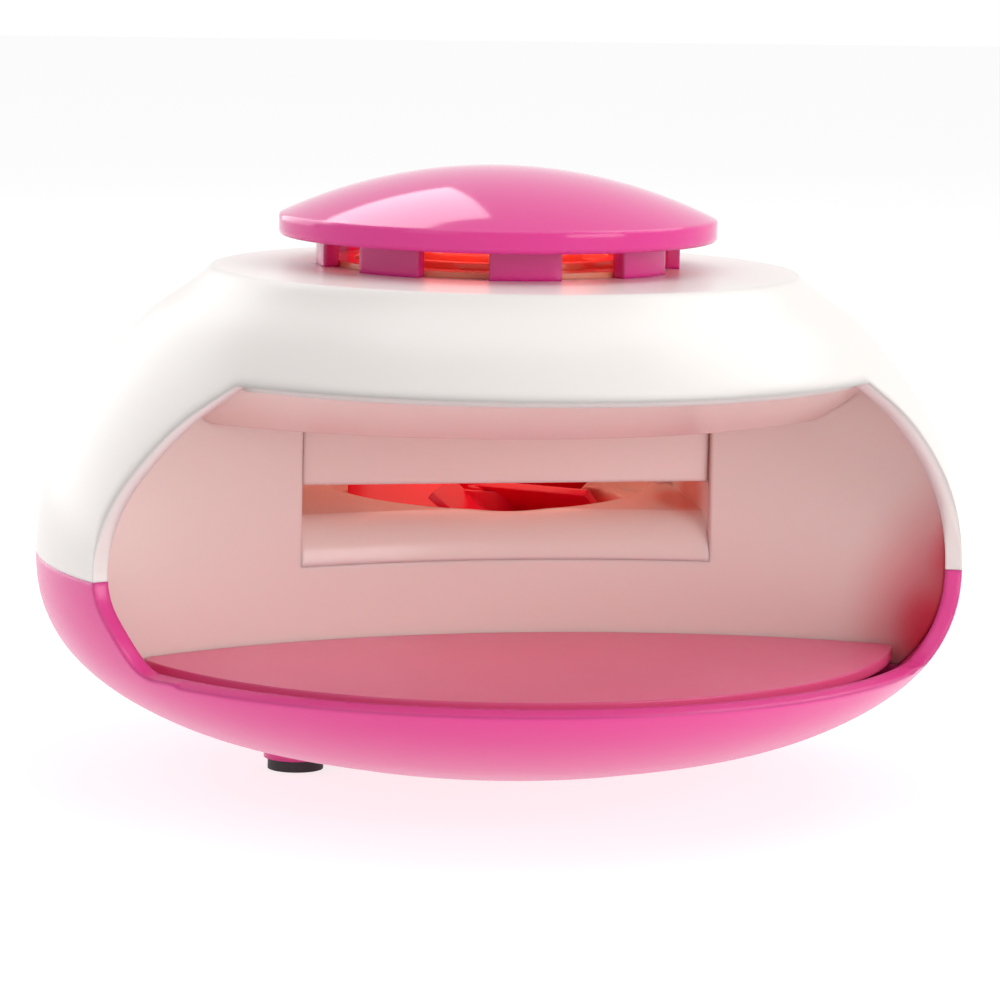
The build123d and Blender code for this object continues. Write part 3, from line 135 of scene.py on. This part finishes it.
@dataclass(frozen=True)
class Finish:
    """One finish: a moulded plastic, a metal or a rubber, with its fine surface detail.

    Sizes are in millimetres. `tint` and `shade` are the two tones that the colour drifts
    between, `drift` is how far apart their patches lie, and `rough` is the span of the
    roughness. `grain` is the size of the fine relief, `relief` its height and `bump` its
    strength. `stretch` draws the patterns out along the axes. `depth` is how far light
    travels inside the plastic. `round_edge` is the radius of the soft edges. Where
    `round_from` is given, they have the radius `round_small` up to that height, and grow
    to the full one over `round_over`. `wear_span` is the part of the noise that is used.
    """

    name: str
    feel: Feel
    tint: Colour
    shade: Colour
    rough: tuple[float, float] = (0.2, 0.3)
    drift: float = 30.0
    grain: float = 0.9
    relief: float = 0.004
    bump: float = 0.6
    stretch: Point = (1.0, 1.0, 1.0)
    depth: float = 0.0
    depth_share: float = 0.0
    depth_tint: Colour = (1.0, 0.6, 0.5)
    round_edge: float = 0.35
    round_from: float = 0.0
    round_small: float = 0.4
    round_over: float = 6.0
    round_samples: int = 6
    wear_span: tuple[float, float] = (0.35, 0.65)
    # zones of painted pink light, one of them also painted shade, mixed into the colour
    painted_lights: tuple[PaintedLight, ...] = ()
    ior: float = 1.5

    def material(self) -> bpy.types.Material:
        """Build the node material.

        The colour is a slow noise between the two tones. The roughness is a finer noise
        between its two values. The relief is a third noise fed to a bump, on top of
        normals that are rounded over the sharp edges.

        Returns:
            The finished material.
        """
        material = bpy.data.materials.new(self.name)
        material.use_nodes = True
        tree = material.node_tree
        shader = next(n for n in tree.nodes if n.type == "BSDF_PRINCIPLED")
        place = tree.nodes.new("ShaderNodeTexCoord")
        mapping = tree.nodes.new("ShaderNodeMapping")
        mapping.inputs["Scale"].default_value = self.stretch
        tree.links.new(place.outputs["Object"], mapping.inputs["Vector"])

        tone = self._noise(tree, mapping, self.drift, 2.0)
        mix = tree.nodes.new("ShaderNodeMix")
        mix.data_type = "RGBA"
        mix.inputs[MIX_FIRST].default_value = (*self.tint, 1.0)
        mix.inputs[MIX_SECOND].default_value = (*self.shade, 1.0)
        tree.links.new(tone.outputs["Fac"], mix.inputs[MIX_SHARE])
        colour = mix.outputs[MIX_COLOUR]
        # mix in each zone of painted pink light and painted shade
        for painted_light in self.painted_lights:
            colour = self._mix_painted_light(tree, place.outputs["Object"], colour, painted_light)
        tree.links.new(colour, shader.inputs["Base Color"])

        wear = self._noise(tree, mapping, self.drift / 4, 4.0)
        span = tree.nodes.new("ShaderNodeMapRange")
        span.inputs["From Min"].default_value = self.wear_span[0]
        span.inputs["From Max"].default_value = self.wear_span[1]
        span.inputs["To Min"].default_value = self.rough[0]
        span.inputs["To Max"].default_value = self.rough[1]
        tree.links.new(wear.outputs["Fac"], span.inputs["Value"])
        tree.links.new(span.outputs["Result"], shader.inputs["Roughness"])

        skin = self._noise(tree, mapping, self.grain, 3.0)
        bump = tree.nodes.new("ShaderNodeBump")
        bump.inputs["Strength"].default_value = self.bump
        bump.inputs["Distance"].default_value = self.relief * MM
        tree.links.new(skin.outputs["Fac"], bump.inputs["Height"])
        edge = tree.nodes.new("ShaderNodeBevel")
        edge.samples = self.round_samples
        edge.inputs["Radius"].default_value = self.round_edge * MM
        if self.round_from:
            self._grow_edge(tree, place.outputs["Object"], edge)
        tree.links.new(edge.outputs["Normal"], bump.inputs["Normal"])
        tree.links.new(bump.outputs["Normal"], shader.inputs["Normal"])

        shader.inputs["IOR"].default_value = self.ior
        shader.inputs["Metallic"].default_value = 1.0 if self.feel is Feel.METAL else 0.0
        if self.feel is Feel.MOULDED and self.depth_share:
            shader.subsurface_method = "RANDOM_WALK"
            shader.inputs["Subsurface Weight"].default_value = self.depth_share
            shader.inputs["Subsurface Radius"].default_value = self.depth_tint
            shader.inputs["Subsurface Scale"].default_value = self.depth * MM
        return material

    def _grow_edge(
        self, tree: bpy.types.NodeTree, place: bpy.types.NodeSocket, edge: bpy.types.Node
    ) -> None:
        """Let the edge rounding grow with height from the small one to the full one.

        Args:
            tree: The node tree to add to.
            place: The socket that gives object coordinates.
            edge: The node that rounds the edges.
        """
        parts = tree.nodes.new("ShaderNodeSeparateXYZ")
        tree.links.new(place, parts.inputs["Vector"])
        span = tree.nodes.new("ShaderNodeMapRange")
        span.inputs["From Min"].default_value = self.round_from * MM
        span.inputs["From Max"].default_value = (self.round_from + self.round_over) * MM
        span.inputs["To Min"].default_value = self.round_small * MM
        span.inputs["To Max"].default_value = self.round_edge * MM
        tree.links.new(parts.outputs["Z"], span.inputs["Value"])
        tree.links.new(span.outputs["Result"], edge.inputs["Radius"])

    @staticmethod
    def _mix_painted_light(
        tree: bpy.types.NodeTree,
        place: bpy.types.NodeSocket,
        colour: bpy.types.NodeSocket,
        painted_light: PaintedLight,
    ) -> bpy.types.NodeSocket:
        """Mix one zone of painted light into a colour by the distance from its middle.

        Args:
            tree: The node tree to add to.
            place: The socket that gives object coordinates.
            colour: The colour so far.
            painted_light: The zone and the colour of its painted light.

        Returns:
            The socket of the tinted colour.
        """
        away = tree.nodes.new("ShaderNodeVectorMath")
        away.operation = "SUBTRACT"
        away.inputs[1].default_value = [value * MM for value in painted_light.middle]
        tree.links.new(place, away.inputs[0])
        scaled = tree.nodes.new("ShaderNodeVectorMath")
        scaled.operation = "DIVIDE"
        scaled.inputs[1].default_value = [value * MM for value in painted_light.reach]
        tree.links.new(away.outputs["Vector"], scaled.inputs[0])
        length = tree.nodes.new("ShaderNodeVectorMath")
        length.operation = "LENGTH"
        tree.links.new(scaled.outputs["Vector"], length.inputs[0])
        fade = tree.nodes.new("ShaderNodeMapRange")
        fade.interpolation_type = "SMOOTHSTEP"
        fade.inputs["From Min"].default_value = painted_light.core
        fade.inputs["To Min"].default_value = painted_light.share
        fade.inputs["To Max"].default_value = 0.0
        tree.links.new(length.outputs["Value"], fade.inputs["Value"])
        blend = tree.nodes.new("ShaderNodeMix")
        blend.data_type = "RGBA"
        blend.inputs[MIX_SECOND].default_value = (*painted_light.tint, 1.0)
        tree.links.new(fade.outputs["Result"], blend.inputs[MIX_SHARE])
        tree.links.new(colour, blend.inputs[MIX_FIRST])
        return blend.outputs[MIX_COLOUR]

    @staticmethod
    def _noise(
        tree: bpy.types.NodeTree, mapping: bpy.types.Node, patch: float, detail: float
    ) -> bpy.types.Node:
        """Add one noise on object coordinates.

        Args:
            tree: The node tree to add to.
            mapping: The node that gives the coordinates.
            patch: How far apart its patches lie, in millimetres.
            detail: How many finer layers it has.

        Returns:
            The noise node.
        """
        noise = tree.nodes.new("ShaderNodeTexNoise")
        noise.inputs["Scale"].default_value = 1 / (patch * MM)
        noise.inputs["Detail"].default_value = detail
        noise.inputs["Roughness"].default_value = 0.5
        tree.links.new(mapping.outputs["Vector"], noise.inputs["Vector"])
        return noise


def liner_painted_lights() -> tuple[PaintedLight, ...]:
    """Place the painted pink light that the pink pieces would lend to the pale liner; in the
    lower right corner it is darker and is painted shade as well.

    Returns:
        The fan well, the right wall of the duct mouth, the lower right corner and two
        along the bowl's right rim.
    """
    return (
        # painted pink bounce light where the pink pieces would throw or let through their colour;
        # the lower right corner zone is darker and also painted shade
        PaintedLight((2.5, 33.5, 31.0), (40.0, 31.0, 8.0), from_screen(232, 60, 56), 0.9, 0.7),
        PaintedLight((29.0, 4.5, 38.0), (5.0, 9.5, 15.0), from_screen(226, 92, 70), 0.6),
        PaintedLight((66.0, -24.0, 24.0), (20.0, 30.0, 26.0), from_screen(222, 96, 112), 0.8),
        PaintedLight((64.5, -23.0, 33.0), (6.0, 12.0, 10.0), from_screen(226, 24, 70), 0.9, 0.3),
        PaintedLight((61.0, -20.0, 23.0), (7.0, 12.0, 9.0), from_screen(226, 24, 70), 0.9, 0.3),
    )


def finishes() -> dict[str, Finish]:
    """List every finish of the dryer by the record's material slot.

    Returns:
        The finishes by slot name.
    """
    moulded, metal, soft = Feel.MOULDED, Feel.METAL, Feel.SOFT
    rows = (
        Finish("bowl_pink", moulded, from_screen(230, 62, 148), from_screen(232, 66, 152),
               (0.24, 0.26), depth=1.2, depth_share=0.2, depth_tint=(1.0, 0.15, 0.45),
               relief=0.002, drift=60.0, round_edge=1.2),
        Finish("cap_pink", moulded, from_screen(228, 46, 146), from_screen(230, 50, 149),
               (0.07, 0.08), depth=1.2, depth_share=0.2, depth_tint=(1.0, 0.15, 0.5),
               relief=0.0006, drift=60.0, round_edge=0.9),
        Finish("shell_white", moulded, from_screen(241, 235, 231), from_screen(239, 233, 229),
               (0.28, 0.30), depth=1.2, depth_share=0.15, depth_tint=(1.0, 0.8, 0.75),
               relief=0.002, drift=60.0, round_edge=2.4, round_from=36.0),
        # the liner's pinkish cream is partly its own off-white and partly painted pink bounce
        # light from the pink pieces
        Finish("liner_white", moulded, from_screen(244, 224, 216), from_screen(242, 221, 213),
               (0.24, 0.26), depth=2.0, depth_share=0.3, depth_tint=(1.0, 0.6, 0.5),
               relief=0.001, drift=60.0, round_edge=0.8, painted_lights=liner_painted_lights()),
        Finish("plate_pink", moulded, from_screen(232, 92, 142), from_screen(234, 96, 146),
               (0.28, 0.30), depth=1.0, depth_share=0.15, depth_tint=(1.0, 0.2, 0.4),
               relief=0.002, drift=60.0, round_edge=0.5),
        Finish("fan_red", moulded, from_screen(232, 8, 56), from_screen(228, 6, 50),
               (0.16, 0.24), depth=1.5, depth_share=0.4, depth_tint=(1.0, 0.1, 0.2),
               relief=0.001),
        Finish("grille_amber", moulded, from_screen(250, 160, 128), from_screen(248, 150, 118),
               (0.12, 0.2), depth=2.0, depth_share=0.4, depth_tint=(1.0, 0.5, 0.2),
               relief=0.001),
        Finish("white_nylon", moulded, from_screen(232, 230, 222), from_screen(226, 223, 214),
               (0.38, 0.5)),
        Finish("black_plastic", moulded, from_screen(38, 38, 40), from_screen(46, 46, 49),
               (0.35, 0.5)),
        Finish("cell_wrap", moulded, from_screen(52, 60, 66), from_screen(58, 66, 74),
               (0.15, 0.25), relief=0.001),
        Finish("steel", metal, from_screen(196, 198, 200), from_screen(182, 184, 187),
               (0.22, 0.34), drift=6, stretch=(1.0, 1.0, 6.0)),
        Finish("zinc", metal, from_screen(204, 206, 210), from_screen(190, 193, 198),
               (0.25, 0.4), drift=8, stretch=(1.0, 1.0, 4.0)),
        Finish("brass", metal, from_screen(214, 184, 120), from_screen(200, 168, 104),
               (0.2, 0.32), drift=5),
        Finish("foot_rubber", soft, from_screen(40, 40, 42), from_screen(52, 52, 54),
               (0.6, 0.75), grain=0.5, relief=0.02),
        Finish("wire_red", soft, from_screen(196, 26, 30), from_screen(184, 20, 26),
               (0.4, 0.5)),
        Finish("wire_black", soft, from_screen(34, 34, 36), from_screen(42, 42, 44),
               (0.4, 0.5)),
    )
    return {row.name: row for row in rows}


@dataclass
class Housing:
    """Dresses every CAD piece with the finish of its material slot."""

    palette: dict[str, Finish] = field(default_factory=finishes)

    def dress(self, frame: dict) -> int:
        """Give each CAD piece its material.


        Returns:
            How many pieces were dressed.
        """
        made = {name: finish.material() for name, finish in self.palette.items()}
        rows = frame["record"]["subparts"]
        for row in rows:
            piece = frame["nodes"][row["node"]]
            piece.data.materials.clear()
            piece.data.materials.append(made[row["material_slot"]])
            LOG.info("%s dressed in %s", row["node"], row["material_slot"])
        return len(rows)


@dataclass
class SeamBead:
    """Rounded bead that closes the slot between the opening's level top and the ceiling.

    It follows the inner edge of the opening in the shell's own mesh. `radius`, `drop` (how
    far its middle lies below the edge) and `step` are in millimetres, and so are `sill` and
    `deck`, the heights between which the top lies, and `merge`, within which two points of
    the mesh are one. `level` is the most that the normal of the level cut may rise, and
    `wall` the span of the inner wall's normal along Y.
    """

    radius: float = 0.6
    drop: float = 0.45
    sill: float = 55.0
    deck: float = 68.0
    sides: int = 10
    step: float = 1.2
    merge: float = 0.001
    level: float = -0.99
    wall: tuple[float, float] = (0.2, 0.98)
    slot: str = "shell_white"

    def build(self, shell: bpy.types.Object) -> bpy.types.Object:
        """Make the bead as one closed tube.

        Args:
            shell: The white shell with its opening.

        Returns:
            The bead, riding on the housing.
        """
        path = self._path(shell)
        ahead = np.gradient(path, axis=0)
        ahead /= np.linalg.norm(ahead, axis=1, keepdims=True)
        across = np.cross(ahead, (0.0, 1.0, 0.0))
        across /= np.linalg.norm(across, axis=1, keepdims=True)
        upward = np.cross(across, ahead)
        turn = np.linspace(0, 2 * np.pi, self.sides, endpoint=False)[None, :, None]
        around = np.cos(turn) * across[:, None] + np.sin(turn) * upward[:, None]
        rings = path[:, None] + self.radius * MM * around
        points = np.concatenate([rings.reshape(-1, 3), path[:1], path[-1:]])
        count, sides = len(path), self.sides
        ring, side = np.meshgrid(np.arange(count - 1), np.arange(sides), indexing="ij")
        near, far = ring * sides + side, ring * sides + (side + 1) % sides
        walls = np.stack([near, far, far + sides, near + sides], axis=-1).reshape(-1, 4)
        first, last = count * sides, count * sides + 1
        base = (count - 1) * sides
        caps = [(first, (k + 1) % sides, k) for k in range(sides)]
        caps += [(last, base + k, base + (k + 1) % sides) for k in range(sides)]
        mesh = bpy.data.meshes.new("seam_bead")
        mesh.from_pydata(points.tolist(), [], [*map(tuple, walls.tolist()), *caps])
        mesh.shade_smooth()
        bead = bpy.data.objects.new("seam_bead", mesh)
        bpy.context.scene.collection.objects.link(bead)
        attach(bead, "housing")
        return bead

    def _path(self, shell: bpy.types.Object) -> np.ndarray:
        """Trace the inner edge along the level top of the opening, from left to right.

        An edge belongs to it where one of its faces looks down into the opening, with no
        tilt towards the front, and the other is part of the inner wall. The path is the
        part of a circle that fits these points best, and goes on past both ends by the
        radius of the bead. A circle is the set of points where x * x + y * y is a plain sum
        of x, y and a constant, so the fit is a least squares one of three factors.

        Args:
            shell: The white shell.

        Returns:
            The points along the edge, evenly spaced, in metres.
        """
        form = bmesh.new()
        form.from_mesh(shell.data)
        bmesh.ops.remove_doubles(form, verts=form.verts, dist=self.merge * MM)
        form.normal_update()
        least, most = self.wall
        found = []
        for edge in form.edges:
            if len(edge.link_faces) != 2:
                continue
            ends = [vert.co for vert in edge.verts]
            heights = [end.z for end in ends]
            if min(heights) < self.sill * MM or max(heights) > self.deck * MM:
                continue
            cut = [face for face in edge.link_faces if face.normal.z < self.level]
            wall = [face for face in edge.link_faces if least < face.normal.y < most]
            if len(cut) == 1 and len(wall) == 1:
                found += [tuple(end) for end in ends]
        form.free()
        points = np.unique(np.round(np.array(found), 7), axis=0)
        flat = points[:, :2]
        system = np.column_stack([flat, np.ones(len(flat))])
        fit = np.linalg.lstsq(system, -(flat**2).sum(axis=1), rcond=None)[0]
        middle = -fit[:2] / 2
        radius = np.median(np.linalg.norm(flat - middle, axis=1))
        turn = np.arctan2(flat[:, 0] - middle[0], middle[1] - flat[:, 1])
        count = max(2, int(radius * np.ptp(turn) / (self.step * MM)))
        more = self.radius * MM / radius
        marks = np.linspace(turn.min() - more, turn.max() + more, count)
        height = np.full(count, np.median(points[:, 2]) - self.drop * MM)
        beside = middle[0] + radius * np.sin(marks)
        ahead = middle[1] - radius * np.cos(marks)
        return np.stack([beside, ahead, height], axis=-1)


@dataclass
class Lamp:
    """One soft lamp, most of them large ones that look at the dryer.

    `azimuth` is counted from the front towards the right and `height` above the horizon,
    in degrees. `far`, `wide` and `tall` are in metres, `power` in watts. `faces` is the point
    it looks at, where that isn't the middle of the picture.
    """

    name: str
    azimuth: float
    height: float
    far: float
    wide: float
    tall: float
    power: float
    tint: Colour = (1.0, 1.0, 1.0)
    faces: Point | None = None

    def build(self, aim: Vector) -> bpy.types.Object:
        """Hang the lamp on its sphere about the aim, facing it.

        Args:
            aim: The middle of the picture, which it faces unless it has a point of its own.

        Returns:
            The lamp object.
        """
        away = outward(self.azimuth, self.height)
        data = bpy.data.lights.new(self.name, "AREA")
        data.shape = "RECTANGLE"
        data.size, data.size_y = self.wide, self.tall
        data.energy, data.color = self.power, self.tint
        lamp = bpy.data.objects.new(self.name, data)
        bpy.context.scene.collection.objects.link(lamp)
        middle = aim if self.faces is None else Vector(self.faces)
        lamp.location = middle + away * self.far
        lamp.rotation_mode = "QUATERNION"
        lamp.rotation_quaternion = (-away).to_track_quat("-Z", "Y")
        return lamp


@dataclass
class Studio:
    """Pale floor, white surroundings, soft lamps and the camera of the photograph.

    `aim` is the middle of the picture. `camera_far`, `camera_clip` and `floor_half` are in
    metres, `camera_lens` and `camera_sensor` in millimetres, and the angles in degrees.
    `world_light` is how brightly the surroundings light the dryer, against 1 as they are
    seen. `floor_glow` is the floor's own light, which makes up `floor_share` of what the
    camera and reflections see of it and `floor_bounce` of what falls on the dryer.
    """

    aim: Point = (-0.0002, -0.00266, 0.0402)
    camera_azimuth: float = -12.3
    camera_height: float = 7.9
    camera_far: float = 0.6476
    camera_lens: float = 159.66
    camera_sensor: float = 36.0
    camera_clip: tuple[float, float] = (0.01, 50.0)
    camera_roll: float = 1.09
    floor_half: float = 3.0
    floor_paint: Colour = (0.86, 0.86, 0.86)
    world_light: float = 0.50
    floor_glow: float = 1.32
    floor_share: float = 0.6
    floor_bounce: float = 0.4
    lamps: Sequence[Lamp] = (
        Lamp("cap_sheen", -178, 42.5, 0.9, 0.25, 0.32, 0.62),
        Lamp("back_left", -146, 20, 0.9, 0.75, 0.7, 2.8),
        Lamp("right_side", 112, 50, 0.9, 0.6, 0.5, 2.0),
        Lamp("front_right", 40, 16, 0.9, 0.5, 0.5, 2.8),
        Lamp("front_left", -50, 34, 0.9, 0.4, 0.3, 0.5),
        Lamp("top", 172, 80, 0.9, 0.6, 0.4, 1.0),
        Lamp("under_cap", 0, 90, 0.009, 0.028, 0.028, 0.006,
             tint=(1.0, 0.22, 0.22), faces=(0.0, 0.003, 0.073)),
        Lamp("in_duct", 0, 90, 0.014, 0.030, 0.026, 0.005,
             tint=(1.0, 0.5, 0.38), faces=(0.002, 0.022, 0.044)),
    )

    def build(self) -> None:
        """Make the floor, the surroundings, the lamps and the camera."""
        self._floor()
        self._world()
        for lamp in self.lamps:
            lamp.build(Vector(self.aim))
        self._camera()

    def _floor(self) -> None:
        """Lay a flat square floor at zero height."""
        square = self.floor_half * np.array([(-1, -1, 0), (1, -1, 0), (1, 1, 0), (-1, 1, 0)])
        mesh = bpy.data.meshes.new("floor")
        mesh.from_pydata(square.tolist(), [], [(0, 1, 2, 3)])
        floor = bpy.data.objects.new("floor", mesh)
        bpy.context.scene.collection.objects.link(floor)
        material = bpy.data.materials.new("floor_paper")
        material.use_nodes = True
        tree = material.node_tree
        tree.nodes.clear()
        out = tree.nodes.new("ShaderNodeOutputMaterial")
        matte = tree.nodes.new("ShaderNodeBsdfDiffuse")
        matte.inputs["Color"].default_value = (*self.floor_paint, 1.0)
        glow = tree.nodes.new("ShaderNodeEmission")
        glow.inputs["Strength"].default_value = self.floor_glow
        light = tree.nodes.new("ShaderNodeLightPath")
        seen = tree.nodes.new("ShaderNodeMath")
        seen.operation = "ADD"
        share = tree.nodes.new("ShaderNodeMapRange")
        share.inputs["To Min"].default_value = self.floor_bounce
        share.inputs["To Max"].default_value = self.floor_share
        blend = tree.nodes.new("ShaderNodeMixShader")
        tree.links.new(light.outputs["Is Camera Ray"], seen.inputs[0])
        tree.links.new(light.outputs["Is Glossy Ray"], seen.inputs[1])
        tree.links.new(seen.outputs[0], share.inputs["Value"])
        tree.links.new(share.outputs["Result"], blend.inputs[0])
        tree.links.new(matte.outputs[0], blend.inputs[1])
        tree.links.new(glow.outputs[0], blend.inputs[2])
        tree.links.new(blend.outputs[0], out.inputs["Surface"])
        mesh.materials.append(material)

    def _world(self) -> None:
        """Surround the scene with white that the camera and reflections see in full."""
        world = bpy.data.worlds.new("studio")
        bpy.context.scene.world = world
        world.use_nodes = True
        tree = world.node_tree
        back = next(n for n in tree.nodes if n.type == "BACKGROUND")
        back.inputs["Color"].default_value = (1, 1, 1, 1)
        light = tree.nodes.new("ShaderNodeLightPath")
        seen = tree.nodes.new("ShaderNodeMath")
        seen.operation = "ADD"
        mirrored = tree.nodes.new("ShaderNodeMath")
        mirrored.operation = "ADD"
        span = tree.nodes.new("ShaderNodeMapRange")
        span.inputs["To Min"].default_value = self.world_light
        span.inputs["To Max"].default_value = 1.0
        tree.links.new(light.outputs["Is Camera Ray"], seen.inputs[0])
        tree.links.new(light.outputs["Is Glossy Ray"], seen.inputs[1])
        tree.links.new(seen.outputs[0], mirrored.inputs[0])
        tree.links.new(light.outputs["Is Transmission Ray"], mirrored.inputs[1])
        tree.links.new(mirrored.outputs[0], span.inputs["Value"])
        tree.links.new(span.outputs["Result"], back.inputs["Strength"])

    def _camera(self) -> None:
        """Place the camera at the photograph's angle, with its small roll."""
        away = outward(self.camera_azimuth, self.camera_height)
        data = bpy.data.cameras.new("camera")
        data.lens, data.sensor_width = self.camera_lens, self.camera_sensor
        data.clip_start, data.clip_end = self.camera_clip
        camera = bpy.data.objects.new("camera", data)
        bpy.context.scene.collection.objects.link(camera)
        camera.location = Vector(self.aim) + away * self.camera_far
        camera.rotation_mode = "QUATERNION"
        level = (-away).to_track_quat("-Z", "Y")
        camera.rotation_quaternion = level @ Quaternion((0, 0, 1), math.radians(self.camera_roll))
        bpy.context.scene.camera = camera


def main() -> None:
    """Load the frame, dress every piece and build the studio."""
    logging.basicConfig(level=logging.INFO, format="%(name)s: %(message)s")
    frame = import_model()
    bpy.context.scene.view_settings.view_transform = "Standard"
    count = Housing().dress(frame)
    bead = SeamBead().build(frame["nodes"]["upper_shell"])
    bead.data.materials.append(frame["nodes"]["upper_shell"].data.materials[0])
    LOG.info("%s added with %d points", bead.name, len(bead.data.vertices))
    Studio().build()
    LOG.info("%d pieces dressed", count)


if __name__ == "__main__":
    main()
